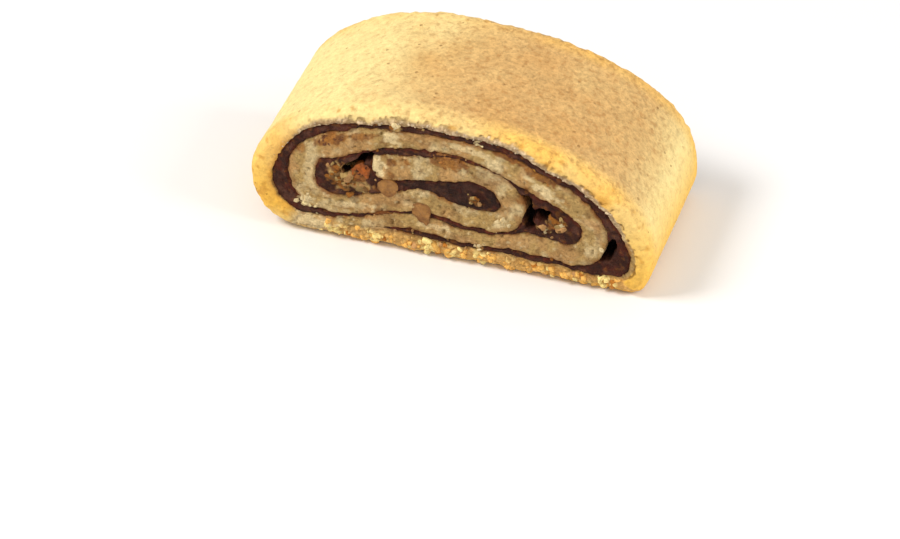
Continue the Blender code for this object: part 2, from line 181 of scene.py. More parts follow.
# Clusters of crumbs on the front cut: x, z, spread, how many, largest radius, depth behind the cut,
# and whether they are cream
CLUSTERS = (
    (-15.2, 11.2, 1.2, 24, 0.75, 0.42, False), (-12.8, 10.4, 1.3, 18, 0.65, 0.42, False),
    (-14.4, 12.9, 0.8, 6, 0.45, 0.4, False), (4.3, 11.3, 0.9, 12, 0.42, 0.3, False),
    (16.2, 9.9, 1.0, 20, 0.7, 0.45, False), (14.0, 9.4, 0.9, 6, 0.5, 0.45, False),
    (22.5, 7.5, 0.4, 5, 0.4, 0.2, True), (8.4, 8.5, 0.9, 5, 0.5, 0.3, True),
    (-19.8, 5.9, 1.0, 6, 0.5, 0.3, True), (-7.0, 21.2, 0.6, 9, 0.46, 0.35, True),
    (5.1, 3.9, 0.4, 6, 0.4, 0.35, True),
)
# Loose crumbs on the paste and on the crust's edge above a height, and granules in the base
ON_PASTE, ON_EDGE, EDGE_ABOVE, GRANULES = 40, 260, 12.0, 130
# How many rings and how many points round a ring each crumb and each walnut has
CRUMB_BALL, WALNUT_BALL = (6, 9), (36, 64)
CRUMB_SEED, GRANULE_SEED, WALNUT_SEED, WALNUT_SEED_STEP = 21, 41, 800, 17
# How far the base's granules stand out at the cut, and where they are palest, x
BASE_GRAIN = 0.5
CREAM_SPOTS = (-16.1, -9.9, -2.4, 1.2, 5.4, 22.5)

# The walnut pieces of each cut in turn: x, z, width, height, turned by degrees, colour, depth behind it
WALNUTS = {
    "front": (
        (-12.0, 12.4, 2.9, 3.4, -12, WALNUT_RUST, 0.055),
        (-15.5, 11.1, 2.3, 3.1, 8, WALNUT_TAN, 0.08),
        (-8.1, 10.7, 2.8, 2.6, 12, WALNUT_NUDE, 0.034),
        (-3.1, 7.4, 2.7, 3.7, 20, WALNUT_NUDE, 0.044),
        (0.6, 17.0, 5.4, 2.6, -4, WALNUT_BROWN, 0.2),
        (9.0, 19.6, 3.2, 1.3, -16, WALNUT_BROWN, 0.25),
        (12.4, 17.9, 2.3, 1.5, -25, WALNUT_AMBER, 0.25),
        (-16.3, 16.8, 3.8, 1.5, 25, WALNUT_DEEP, 0.06),
        (-19.6, 5.6, 3.1, 1.8, -15, WALNUT_CREAM * 1.45, 0.1),
        (4.2, 11.3, 2.6, 1.8, -20, WALNUT_NUDE, 0.3),
        (16.1, 10.1, 2.3, 1.9, 10, WALNUT_TAN, 0.18),
        (4.9, 20.9, 1.7, 0.9, -8, WALNUT_CREAM, 0.1),
    ),
    "back": (
        (-14.2, 11.4, 2.6, 3.0, 0, WALNUT_BROWN, 0.2),
        (-20.6, 13.6, 2.4, 2.0, 0, WALNUT_TAN, 0.2),
        (5.2, 11.6, 3.0, 1.8, 0, WALNUT_AMBER, 0.2),
        (15.8, 9.9, 2.8, 2.0, 0, WALNUT_TAN, 0.2),
        (-2.6, 17.3, 4.2, 1.9, 0, WALNUT_BROWN, 0.2),
        (23.9, 6.6, 2.0, 2.6, 0, WALNUT_BROWN, 0.2),
        (8.6, 4.4, 2.6, 1.4, 0, WALNUT_CREAM, 0.2),
    ),
}

# The camera: turn and rise in degrees, distance, aim, lens and sensor in mm, nearest view in metres
CAMERA_TURN, CAMERA_RISE, CAMERA_DISTANCE, CAMERA_AIM = 18.06, 38.08, 509.27, (-2.37, 10.0, -9.41)
CAMERA_LENS, CAMERA_SENSOR, CAMERA_NEAR = 144.0, 36.0, 0.01
# Lamps: name, turn and rise in degrees, power in watts, size in metres; and how far away they are
LAMPS = (
    ("key", -66.0, 50.0, 2.5, 0.2),
    ("front", 25.0, 45.0, 0.4, 0.5),
    ("right", 88.0, 32.0, 1.75, 0.3),
)
LAMP_DISTANCE = 0.6
ROOM_LIGHT, ROOM_COLOUR = 0.52, (1.0, 0.98, 0.95, 1.0)
FLOOR_REACH, FLOOR_ROUGHNESS, FLOOR_COLOUR = 3.0, 0.6, (0.86, 0.84, 0.82, 1.0)

# Keeps the places in the face only, and moves the far cut's pattern away from the near cut's
IN_FACE = np.array([1.0, 0.0, 1.0])
OTHER_CUT = np.array([40.0, 0.0, 30.0])


# Shapes: routes on the cut face

def travelled(points):
    """Distance covered along a row of points at each of them: the running sum of its steps."""
    steps = np.linalg.norm(np.diff(points, axis=0), axis=1)
    return np.concatenate([[0.0], np.cumsum(steps)])


def spread(points):
    """The same route with points at even distances of about one step, read between its points."""
    run = travelled(points[:, :2])
    even = np.linspace(0.0, run[-1], max(int(round(run[-1] / STEP)), 2) + 1)
    return np.stack([np.interp(even, run, column) for column in points.T], axis=1)


def smooth_route(rows):
    """A cubic Hermite curve through the rows, with the slope of their neighbours at each row."""
    knots = travelled(rows[:, :2])
    slopes = np.gradient(rows, knots, axis=0)
    at = np.linspace(0.0, knots[-1], ROUTE_POINTS)
    i = np.clip(np.searchsorted(knots, at, side="right") - 1, 0, len(knots) - 2)
    span = (knots[i + 1] - knots[i])[:, None]
    u = (at - knots[i])[:, None] / span
    start = (1 + 2 * u) * (1 - u) ** 2 * rows[i] + u * (1 - u) ** 2 * span * slopes[i]
    return start + u * u * (3 - 2 * u) * rows[i + 1] + u * u * (u - 1) * span * slopes[i + 1]


def evened(values, count):
    """A running mean over an odd number of values, with both ends held."""
    return np.convolve(np.pad(values, count // 2, mode="edge"), np.ones(count) / count, mode="valid")


def quarter(start, end, square, leaves_upright):
    """A quarter of a superellipse: cosine and sine of an angle, each to the power of two over square."""
    angle = np.linspace(0.0, np.pi / 2, QUARTER_POINTS, endpoint=False)
    along, across = np.cos(angle) ** (2 / square), np.sin(angle) ** (2 / square)
    if leaves_upright:
        x, z = end[0] + (start[0] - end[0]) * along, start[1] + (end[1] - start[1]) * across
    else:
        x, z = start[0] + (end[0] - start[0]) * across, end[1] + (start[1] - end[1]) * along
    return np.stack([x, z], axis=1)


def outline():
    """The baked outline, clockwise from the left extreme, closed, with the base flat."""
    return spread(np.concatenate([
        quarter(LEFT, TOP, SQUARE_LEFT_TOP, True),
        quarter(TOP, RIGHT, SQUARE_TOP_RIGHT, False),
        quarter(RIGHT, BASE_RIGHT, SQUARE_RIGHT_BASE, True),
        [BASE_RIGHT, BASE_LEFT],
        quarter(BASE_LEFT, LEFT, SQUARE_BASE_LEFT, False),
        [LEFT],
    ]))[:-1]


def inside_outline(points):
    """Distance of each point, within the face, from the nearest point of the baked outline."""
    flat, ring = points[:, [0, 2]], outline()
    blocks = np.array_split(flat, len(flat) // BLOCK + 1)
    return np.concatenate([np.linalg.norm(block[:, None] - ring, axis=2).min(axis=1) for block in blocks])


def outward(points):
    """Unit normals to the left of a clockwise route, which point out of it."""
    ahead = np.gradient(points, axis=0)
    ahead /= np.linalg.norm(ahead, axis=1)[:, None]
    return np.stack([-ahead[:, 1], ahead[:, 0]], axis=1)


def nearest(points, bank):
    """For each point, the number of the nearest point of the bank."""
    return np.linalg.norm(points[:, None] - bank[None], axis=2).argmin(axis=1)


def sheet_sides():
    """Turns, inner side and outer side of the rolled sheet. Its nose is blunt: the width grows from
    nothing as the cube root of one minus the cube of the way that is left."""
    table = np.array(SHEET)
    route = spread(smooth_route(table[:, [1, 2, 0, 3]]))
    inner, turns, thickness = route[:, :2], route[:, 2], route[:, 3]
    outer = inner + outward(inner) * thickness[:, None]
    middle = (inner + outer) / 2
    from_nose = np.clip(travelled(inner) / (thickness[0] / 2), 0.0, 1.0)
    swell = np.cbrt(1 - (1 - from_nose) ** 3)[:, None]
    return turns, middle + (inner - middle) * swell, middle + (outer - middle) * swell


def outer_turn_sides():
    """Inner and outer side of the last turn, which is the crust and goes right round the outline.

    It starts and ends where the sheet passes under it. Its inner side is the nearest place on the
    paste's outer side. In its second half that can also be on the sheet, where the two are baked
    together: there the third value is 1, evened out along the way.
    """
    turns, inner, outer = sheet_sides()
    ring = outline()
    first = nearest(outer[turns <= SEAM_TURN][-1:], ring)[0]
    ring = np.roll(ring, -first, axis=0)
    ring = np.concatenate([ring, ring[:1]])
    joined = (turns >= SEAM_START_TURN) & (turns <= SEAM_TURN)
    beside = inner[turns > SEAM_TURN - SEAM_OVERLAP]
    bank = np.concatenate([beside, outer[joined]])
    first_half = np.arange(len(ring)) < len(ring) // 2
    place = np.where(first_half, nearest(ring, beside), nearest(ring, bank))
    return bank[place], ring, evened((place >= len(beside)) * 1.0, BAKED_SMOOTHING)


def paste_sides():
    """Outer and inner side of the date paste, which fills what lies between one turn and the next.

    The outer side follows the sheet's inner side. The inner side is the nearest place on the turn
    inside it, and in the core, where the sheet folds back, the same distance before the fold.
    """
    turns, inner, outer = sheet_sides()
    laid = turns >= FOLD_TURN
    out_turns, out_side = turns[laid], inner[laid]
    back = turns <= FOLD_TURN
    outside = turns <= SEAM_TURN
    bank = np.concatenate([inner[back][::-1], outer[outside]])
    bank_turns = np.concatenate([2 * FOLD_TURN - turns[back][::-1], turns[outside]])
    is_outer = np.arange(len(bank)) >= back.sum()
    distance = np.linalg.norm(out_side[:, None] - bank[None], axis=2)
    behind = out_turns[:, None] - bank_turns[None]
    too_far = is_outer & ((behind < TURNS_INSIDE[0]) | (behind > TURNS_INSIDE[1]))
    too_early = (bank_turns < CORE_END_TURN)[None] | (out_turns > ROUND_NOSE_TURN)[:, None]
    place = np.where(too_far | ~is_outer & too_early, np.inf, distance).argmin(axis=1)
    core = out_turns < CORE_END_TURN
    place[core] = np.searchsorted(bank_turns[~is_outer], out_turns[core])
    place = evened(np.maximum.accumulate(place).astype(float), PASTE_SMOOTHING)
    in_side = np.stack([np.interp(place, np.arange(len(bank)), column) for column in bank.T], axis=1)
    return out_side, in_side


# Shapes: unevenness, worked out from the place of each point

def scramble(cells, seed):
    """A number from 0 to 1 for each whole-numbered cell: its three numbers times large primes,
    joined by exclusive or, then shifted and multiplied twice."""
    code = cells.astype(np.int64) * np.array(CELL_PRIMES)
    code = (code[..., 0] ^ code[..., 1] ^ code[..., 2] ^ seed * SEED_PRIME) & WORD
    for shift, prime in SHIFTS:
        code = ((code ^ code >> shift) * prime) & WORD
    return (code ^ code >> 16) / 2**32


def noise(points, size, seed):
    """Value noise from -1 to 1: random numbers at the corners of cells of one size, eased between."""
    at = points / size + FAR_CORNER
    cell = np.floor(at)
    part = at - cell
    ease = part * part * (3 - 2 * part)
    total = np.zeros(len(points))
    for corner in range(8):
        step = np.array([corner & 1, corner >> 1 & 1, corner >> 2 & 1])
        share = np.prod(np.where(step, ease, 1 - ease), axis=1)
        total += share * scramble(cell + step, seed)
    return total * 2 - 1


def layered(points, size, seed, layers=3):
    """Noise in layers, each of half the size and half the height of the one before."""
    total = sum(noise(points, size / 2**i, seed + i) / 2**i for i in range(layers))
    return total / (2 - 0.5 ** (layers - 1))


def grained(points, size, seed):
    """Rounded grains packed side by side, one round each of the points scattered one a cell: 1 in the
    middle of each and 0 between them, eased by how much nearer the nearest point is than the second,
    and a number from 0 to 1 for each grain."""
    at = points / size + FAR_CORNER
    cell = np.floor(at)
    first = np.full(len(points), np.inf)
    second = first.copy()
    mark = np.zeros(len(points))
    for index in range(27):
        home = cell + np.array([index % 3, index // 3 % 3, index // 9]) - 1
        spot = home + np.stack([scramble(home, seed + k) for k in range(3)], axis=1)
        distance = np.linalg.norm(at - spot, axis=1)
        closer = distance < first
        second = np.where(closer, first, np.minimum(second, distance))
        mark = np.where(closer, scramble(home, seed + 7), mark)
        first = np.minimum(first, distance)
    return ramp(second - first, 0.0, 0.5), mark


def ramp(value, low, high):
    """Eased from 0 at low to 1 at high."""
    u = np.clip((value - low) / (high - low), 0.0, 1.0)
    return u * u * (3 - 2 * u)


def mixed(first, *coats):
    """A colour with coats laid over it one by one, each a colour and its share at every point."""
    for colour, share in zip(coats[::2], coats[1::2]):
        first = first * (1 - share)[:, None] + colour * share[:, None]
    return first


def turned(x, z, degrees):
    """Places turned about the origin by an angle, from the x axis towards the z axis."""
    cosine, sine = math.cos(math.radians(degrees)), math.sin(math.radians(degrees))
    return x * cosine - z * sine, x * sine + z * cosine


def ovals(points, rows, reach, low, high):
    """The strongest of a list of ovals at each point: the reach less the distance in half widths,
    eased from nothing at low to the oval's strength at high."""
    total = np.zeros(len(points))
    for x, z, half_width, half_height, turn, strength in rows:
        u, v = turned(points[:, 0] - x, points[:, 2] - z, -turn)
        away = np.hypot(u / half_width, v / half_height)
        total = np.maximum(total, strength * ramp(reach - away, low, high))
    return total


def stained(points, stains):
    """Strength of a list of stains at each point, their edges broken by noise."""
    flat = points * IN_FACE
    reach = 1.2 + 0.6 * layered(flat, 0.9, 501) + 0.35 * noise(flat, 0.42, 505)
    return ovals(points, stains, reach, 0.05, 0.45)


def hollow_depth(points):
    """How far the paste sinks at the cuts in its steep-sided hollows, their edges broken by noise."""
    return ovals(points, HOLLOWS, 1.0 + 0.34 * layered(points * IN_FACE, 0.8, 701), -0.05, 0.3)


def rounding(inside, wide=ROUND_IN, deep=ROUND_BACK):
    """How far a rounded edge lies back at a distance inside it: a quarter ellipse."""
    share = np.clip(1 - inside / wide, 0.0, 1.0)
    return deep * (1 - np.sqrt(1 - share**2))


def ragged(points):
    """Points of the face moved a little within it, alike for every piece, so that the edges where
    dough and paste meet are ragged but stay shut."""
    flat = points * np.array([1.0, 0.35, 1.0])
    moved = points.copy()
    for axis, seed in ((0, 301), (2, 321)):
        moved[:, axis] += STRAY_COARSE * layered(flat, 2.4, seed, 2)
        moved[:, axis] += STRAY_FINE * noise(flat, 0.7, seed + 10)
    return moved


# Meshes

def placed(points):
    """Points of the face's frame as metres in the slice's place."""
    return (points - np.array([MIDDLE_X, DEPTH / 2, 0.0])) * MM


def added(name, data):
    """A new object in the scene, at the origin."""
    thing = bpy.data.objects.new(name, data)
    bpy.context.scene.collection.objects.link(thing)
    return thing


def make_piece(name, node, slot, look, points, faces, tone, **masks):
    """A finished piece that stands for a node: its points, its faces, the colour painted on its
    points and any other numbers painted there."""
    mesh = bpy.data.meshes.new(name)
    mesh.from_pydata(placed(points).tolist(), [], faces)
    layer = mesh.attributes.new("tone", "FLOAT_COLOR", "POINT")
    layer.data.foreach_set("color", np.concatenate([tone, np.ones((len(tone), 1))], axis=1).ravel())
    for mask, values in masks.items():
        layer = mesh.attributes.new(mask, "FLOAT", "POINT")
        layer.data.foreach_set("value", values.astype(np.float32))
    mesh.materials.append(look)
    mesh.update()
    mesh.validate()
    mesh.shade_smooth()
    piece = added(name, mesh)
    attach(piece, "root")
    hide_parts(node)


def grid_quads(rows, columns):
    """Corner numbers of the quads of a grid of points whose columns close round."""
    row, column = np.meshgrid(np.arange(rows - 1), np.arange(columns), indexing="ij")
    here, after = row * columns, (column + 1) % columns
    beyond = here + columns
    corners = (here + column, here + after, beyond + after, beyond + column)
    return np.stack([corner.ravel() for corner in corners], axis=1)


def profile(steps, walls, overlap=0.0):
    """A closed profile through the slice: across the front cut, back along one wall, across the
    other cut and forward along the other wall, as shares of the way across and as depths."""
    walls = np.array(walls + tuple(DEPTH - wall for wall in reversed(walls)))
    front = np.linspace(-overlap, 1.0 + overlap, steps[0])
    back = np.linspace(1.0 + overlap, -overlap, steps[1])
    across = np.concatenate([front, np.ones(len(walls)), back, np.zeros(len(walls))])
    return across, np.concatenate([front * 0, walls, np.full(len(back), DEPTH), walls[::-1]])


def carried(inner, outer, across, depth):
    """A profile carried along a path: each ring of points lies across a turn, its share of the way
    from the inner to the outer side given by across and its distance from the front cut by depth.
    They hold one row for the whole path or one for every place along it. Returns the points, the
    faces with a flat cap over each end, and across and depth at every point."""
    rows, columns = len(inner), across.shape[-1]
    across, depth = (np.broadcast_to(numbers, (rows, columns)) for numbers in (across, depth))
    flat = inner[:, None] * (1 - across[..., None]) + outer[:, None] * across[..., None]
    points = np.stack([flat[..., 0], depth, flat[..., 1]], axis=-1).reshape(-1, 3)
    ring = np.arange(columns)
    caps = [ring[::-1].tolist(), (ring + (rows - 1) * columns).tolist()]
    return points, grid_quads(rows, columns).tolist() + caps, across.ravel(), depth.ravel()


def ball(rings, around):
    """A unit ball about the y axis: rings of points between two poles, as points, quads and the
    triangles round each pole."""
    polar = np.linspace(0.0, np.pi, rings + 2)[1:-1, None]
    turn = np.linspace(0.0, 2 * np.pi, around, endpoint=False)[None]
    out, up = np.sin(polar), np.cos(polar)
    body = np.stack([out * np.cos(turn), up + 0 * turn, out * np.sin(turn)], axis=-1)
    points = np.concatenate([body.reshape(-1, 3), [(0, 1, 0), (0, -1, 0)]])
    ring = np.arange(around)
    after, last = (ring + 1) % around, (rings - 1) * around
    top, bottom = np.full(around, rings * around), np.full(around, rings * around + 1)
    fans = [np.stack([ring, top, after], axis=1), np.stack([last + ring, last + after, bottom], axis=1)]
    return points, grid_quads(rings, around), np.concatenate(fans)


def facing_of(points, columns):
    """Unit normals of a grid of points whose columns close round: the cross product of the steps
    along and round it."""
    grid = points.reshape(-1, columns, 3)
    normal = np.cross(np.gradient(grid, axis=0), np.roll(grid, -1, axis=1) - np.roll(grid, 1, axis=1))
    normal /= np.maximum(np.linalg.norm(normal, axis=2), 1e-9)[..., None]
    return normal.reshape(-1, 3)


def inward(depth):
    """The way into the slice along y: 1 at the front cut, -1 at the other cut and 0 between."""
    return (depth == 0) * 1.0 - (depth == DEPTH) * 1.0


# Dough

def cut_relief(points, at_back):
    """How far the crumb at the cut lies behind the cut plane: grains of two sizes, dents and torn
    pits, with another pattern at the back."""
    flat = (points + np.where(at_back[:, None], OTHER_CUT, 0.0)) * IN_FACE
    coarse, coarse_mark = grained(flat, 0.95, 401)
    fine, fine_mark = grained(flat, 0.5, 411)
    dents = ramp(layered(flat, 1.5, 431), 0.05, 0.6)
    pits = ramp(noise(flat, 0.75, 441), 0.68, 0.9)
    swell = layered(flat, 4.5, 451, 2)
    grains = 0.12 * (1 - coarse * (0.3 + 0.7 * coarse_mark)) + 0.09 * (1 - fine * fine_mark)
    return grains + 0.2 * dents + 0.3 * pits + 0.12 * swell + 0.05


def crumb_tone(points, from_paste, relief):
    """Colour of the cut dough: beige in paler, pinker and browner patches and grains, gold and
    granular in the base, stained brown beside the paste, with painted shade that darkens it the
    deeper its relief lies and between the base's granules."""
    flat = points * IN_FACE
    x, z = points[:, 0], points[:, 2]
    grain, mark = grained(flat, 0.55, 561)
    lump, lump_mark = grained(flat, 0.95, 571)
    base = ramp(z + 0.5 * noise(flat, 1.1, 575), 3.3, 2.4)
    cream = 0.5 * ramp(np.abs(points[:, :1] - np.array(CREAM_SPOTS)).min(axis=1), 2.0, 0.6)
    smear = mixed(CRUMB_ORANGE, STAIN * 0.85, ramp(noise(flat, 0.8, 545), -0.2, 0.4))
    tone = mixed(
        CRUMB,
        CRUMB_PALE, 0.7 * ramp(layered(flat, 1.9, 511), 0.0, 0.5),
        CRUMB_PINK, 0.6 * ramp(layered(flat, 2.8, 515, 2), 0.0, 0.5),
        CRUMB_DARK, 0.55 * ramp(layered(flat, 1.6, 521), 0.1, 0.6),
        CRUMB_PALE, 0.7 * grain * ramp(mark, 0.8, 0.9),
        CRUMB_DARK, 0.6 * grain * ramp(mark, 0.2, 0.1),
        mixed(CRUMB_GOLD * 1.2, CRUMB_GOLD * 1.4, ramp(x, -6.0, 14.0)), 0.9 * base,
        CRUMB_PALE, base * (0.22 + 0.65 * ramp(x, -15.5, -19.0)),
        CRUMB_CREAM, base * lump * ramp(lump_mark, 0.75 - cream, 1.0 - cream),
        # In the base, orange between the granules: partly the crumb's own colour, partly painted shade
        CRUMB_ORANGE, base * (0.3 * (1 - lump) + 0.1 * ramp(layered(flat, 1.1, 531, 2), 0.0, 0.4)),
        smear, 0.85 * stained(points, STAINS_ORANGE),
        CRUMB_PALE * 1.2, 0.9 * stained(points, STAINS_PALE),
        STAIN, 0.85 * ramp(from_paste, 0.65, 0.0) * (0.25 + 0.75 * ramp(noise(flat, 0.8, 551), -0.3, 0.5)))
    # Painted shade: darker the deeper the relief lies, and between the granules of the base
    return tone * (1.02 - 0.42 * np.clip(relief, 0.0, 0.7) - 0.08 * base * (1 - lump))[:, None]


def crust_tone(points, facing, from_cut):
    """Colour of the crust: tan where the oven's heat reached the top and pale down the left end,
    golden low down and, to the right, along the cut edges, and browner on the base."""
    x, y, z = points.T
    patches = layered(points, 7.0, 601)
    top = ramp(facing[:, 2], 0.34, 0.92) * ramp(x + 5.0 * patches, -22.0, 4.5)
    top *= 1 - 0.4 * ramp(y, 13.0, 26.0) * ramp(x, 8.0, -8.0)
    top *= 1 - 0.6 * ramp(y, 4.6, 1.2)
    edge = ramp(from_cut, 4.5, 1.5) * (0.2 + 0.5 * ramp(x, -19.0, -25.0) + 0.55 * ramp(x, 2.0, 11.0))
    return mixed(
        CRUST_PALE,
        CRUST_TAN, np.clip(top * (0.95 + 0.3 * patches), 0, 1),
        CRUST_GOLD, np.clip(0.75 * ramp(z, 13.0, 3.5) + 0.15 * patches, 0, 1),
        mixed(CRUST_GOLD, CRUST_HONEY, ramp(z, 9.0, 14.0)), edge * (0.7 + 0.6 * ramp(patches, -0.3, 0.4)),
        CRUST_PALE, 0.55 * ramp(z, 4.5, 1.0) * ramp(x, -17.0, -22.0),
        CRUST_BASE, 0.8 * ramp(-facing[:, 2], 0.4, 0.9) * ramp(from_cut, 0.8, 3.0))


def dough_look():
    """The finish of the dough: painted tones with sandy grains at the cut, a little darker between the
    grains as a painted shade, and on the crust a soft fine mottling with a few pores."""
    tree = Tree("baked_dough")
    crust, browned = tree.mask("crust"), tree.mask("browned")
    fine, soft = tree.noise(2600.0, 3.0, 0.6), tree.noise(1150.0, 3.0, 0.6)
    broad = tree.noise(260.0, 3.0, 0.55)
    grain, sand = tree.cells(2500.0, "Color"), tree.cells(1900.0, "Color")
    gap = (tree.cells(2500.0) - 0.45).stretched(0.0, 0.4)
    # The crumb is a little darker at the edges of its sand grains, a painted shade between them
    crumb_value = 1.0 + 0.65 * (fine - 0.5) + 0.6 * (soft - 0.5) + 0.28 * (grain - 0.5) - 0.08 * gap
    mottled = 0.6 * (fine - 0.5) + 0.7 * (soft - 0.5) + 0.25 * (sand - 0.5)
    crust_value = 1.0 + mottled * (0.5 + 0.6 * browned) + 0.4 * (broad - 0.5)
    colour = tree.scaled(tree.tone(), crumb_value.towards(crust_value, crust))
    warm = (0.5 - soft).stretched(0.0, 0.2) * (0.16 + 0.3 * browned)
    warm = warm + (broad - 0.5).stretched(0.0, 0.25) * 0.26
    colour = tree.blended(colour, CRUST_BROWN, warm * crust)
    pore = (0.17 - tree.cells(640.0)).stretched(0.0, 0.09) * (broad - 0.53).stretched(0.0, 0.06)
    colour = tree.blended(colour, CRUMB_ORANGE * 0.8, pore * crust * 0.5)
    crumb_height = fine * 0.45 + soft * 0.6 + grain * 0.15 - gap * 0.15
    height = crumb_height.towards(fine * 0.4 + soft * 0.6 + sand * 0.1 - pore * 0.5, crust)
    return tree.finish(colour, 0.74 + 0.14 * soft, height, 0.0004, 0.25)


def make_inner_turns(look):
    """The sheet from its nose to the place where it passes under the crust, its end tucked a little
    way into the crust and set back there."""
    turns, inner, outer = sheet_sides()
    rolled = turns <= SEAM_TURN + SEAM_TUCK
    turns, inner, outer = turns[rolled], inner[rolled], outer[rolled]
    across, depth = profile(SHEET_STEPS, SHEET_WALLS)
    columns = len(across)
    points, faces, across, depth = carried(inner, outer, across, depth)
    width = np.repeat(np.linalg.norm(outer - inner, axis=1), columns)
    joined = np.repeat(ramp(turns, SEAM_START_TURN - 0.02, SEAM_START_TURN + 0.02), columns)
    tucked = np.repeat(ramp(turns, SEAM_TURN - 0.01, SEAM_TURN + 0.02), columns)
    from_side = np.minimum(across * width, (1 - across) * width + joined)
    behind = rounding(inside_outline(points)) + rounding(from_side, EDGE_IN, EDGE_BACK)
    points = ragged(points)
    relief = cut_relief(points, depth == DEPTH)
    points[:, 1] += inward(depth) * (behind + SEAM_SET_BACK * tucked + relief)
    tone = crumb_tone(points, from_side, relief)
    none = np.zeros(len(points))
    make_piece("dough_inner_turns", "dough", "dough", look, points, faces, tone, crust=none, browned=none)


def crust_profile(width):
    """Shares across and depths of the crust's profile at every place along it: the flat of the front
    cut, a bend down to the wall, the wall, the same again at the back, and the hidden lining."""
    starts = np.maximum(1 - ROUND_IN / width, 0.0)
    flat = np.linspace(0.0, 1.0, CRUST_STEPS)[:-1] * starts
    bend = starts + (1 - starts) * np.sin(np.linspace(0.0, np.pi / 2, BEND_STEPS))
    bend_depth = rounding((1 - bend) * width)
    wall = 0 * width + np.linspace(ROUND_BACK, DEPTH - ROUND_BACK, WALL_STEPS)[1:-1]
    lining = 0 * width + np.array(CRUST_LINING)
    across = [flat, bend, 0 * wall + 1, bend[:, ::-1], flat[:, ::-1], 0 * lining]
    depth = [0 * flat, bend_depth, wall, DEPTH - bend_depth[:, ::-1], 0 * flat + DEPTH, lining]
    return np.concatenate(across, axis=1), np.concatenate(depth, axis=1)


def make_crust(look):
    """The outer turn, its baked crust bent over both cut edges nearly to the paste. The crumb at the
    cuts is rough, granular in the base and torn and pale along the crown's rim. The crust is lumpy
    and dimpled, more so near the cuts, where it ends in an uneven hem above the floor."""
    inner, outer, baked = outer_turn_sides()
    width = np.linalg.norm(outer - inner, axis=1)[:, None]
    across, depth = crust_profile(width)
    rows, columns = across.shape
    shape, faces, across, depth = carried(inner, outer, across, depth)
    facing = facing_of(shape, columns)
    from_paste = across * np.repeat(width, columns) + np.repeat(baked, columns)
    from_cut = np.minimum(depth, DEPTH - depth)
    at_back = depth > DEPTH / 2
    on_face = np.tile(np.arange(columns) < columns - len(CRUST_LINING), rows)
    x, z = shape[:, 0], shape[:, 2]

    # Where it is crust, where torn crumb
    broken = from_paste + 0.35 * layered(shape, 1.1, 641)
    left = ramp(x, -18.0, -23.0)
    low = np.maximum(left, ramp(x, 24.0, 27.0))
    crown = ramp(z + 0.5 * noise(shape, 2.0, 651) + 2.6 * low, 3.2, 4.4)
    crown *= ramp(np.repeat(travelled(outer), columns) + 0.9 * layered(shape, 1.6, 655, 2), 0.6, 3.0)
    skin = ramp(from_cut, 0.25, 1.1)
    torn_from = 0.62 - 0.7 * left
    torn = on_face * crown * ramp(from_cut, 1.6, 0.8) * (1 - left)
    torn *= ramp(np.abs(broken - 0.95), 0.3, 0.1) * ramp(noise(shape, 0.55, 691), 0.15, 0.5)
    crust = on_face * np.maximum(skin, crown * ramp(broken, torn_from, torn_from + 0.35))

    # The rough cuts
    points = ragged(shape)
    points = np.where(on_face[:, None], mixed(points, shape, ramp(from_cut, 0.6, 2.0)), points)
    near = ramp(from_cut, 1.2, 0.0) * (1 - 0.6 * crust)
    granule, granule_mark = grained(points * IN_FACE, 0.95, 571)
    coarse = BASE_GRAIN * ramp(z, 3.6, 2.6) * (0.6 - granule * (0.3 + 0.7 * granule_mark))
    cut = cut_relief(points, at_back) * (1 - 0.45 * ramp(points[:, 2], 14.0, 17.0))
    droop = rounding(from_paste, EDGE_IN, EDGE_BACK) * ramp(from_cut, 0.6, 0.0)
    points[:, 1] += on_face * np.where(at_back, -1, 1) * (near * (cut + coarse) + droop + 0.3 * torn)

    # The uneven crust and its hem
    rim = ramp(from_cut, 5.0, 0.5)
    lumps, lump_mark = grained(shape, 1.7, 661)
    spots = noise(shape, 0.9, 631)
    relief = 0.10 * layered(shape, 7.0, 611, 2) + 0.05 * layered(shape, 0.9, 621, 2) - 0.13
    relief += rim * 0.04 * (lumps * lump_mark - 0.5) - (0.05 + 0.1 * rim) * ramp(spots, 0.66, 0.9)
    points += facing * (on_face * skin * ramp(points[:, 2], 0.0, 2.5) * relief)[:, None]
    hem = ramp(points[:, 2], 1.2, 0.0) * ramp(from_cut, 2.4, 0.0)
    points[:, 2] += hem * (0.25 + 0.45 * ramp(noise(shape * np.array([1.0, 0.3, 0.0]), 1.3, 671), -0.5, 0.7))
    points[:, 2] = np.maximum(points[:, 2], 0.0)

    # Colours, with painted shade in the crevices between the rim's chips and in the torn pits
    pale = ramp(broken, 1.2, 0.7) * ramp(z, 9.0, 13.0)
    chips, chip_mark = grained(shape, 0.7, 681)
    evenly = 0.3 + 0.25 * ramp(x, -4.0, 6.0)
    skin_tone = mixed(crust_tone(points, facing, from_cut),
                      CRUMB_ORANGE * 1.4, 0.45 * left * ramp(from_paste, 1.6, 0.0))
    tone = mixed(
        crumb_tone(points, from_paste, cut),
        RIM_PALE * 1.35, pale * (evenly + 0.5 * chips * chip_mark),
        # Painted shade between the pale chips of the rim
        CRUMB_DARK * 0.8, 0.6 * pale * (1 - chips),
        skin_tone, crust,
        # Painted shade in the torn pits, which lie back from the cut
        CRUMB_DARK, 0.6 * torn,
        CRUST_DIMPLE, 0.65 * ramp(from_cut, 4.0, 0.8) * crust * ramp(spots, 0.5, 0.8))
    browned = crust * ramp(facing[:, 2], 0.34, 0.92) * ramp(points[:, 0], -22.0, 4.5)
    make_piece("dough_crust", "dough", "dough", look, points, faces, tone, crust=crust, browned=browned)


# Crumbs and granules

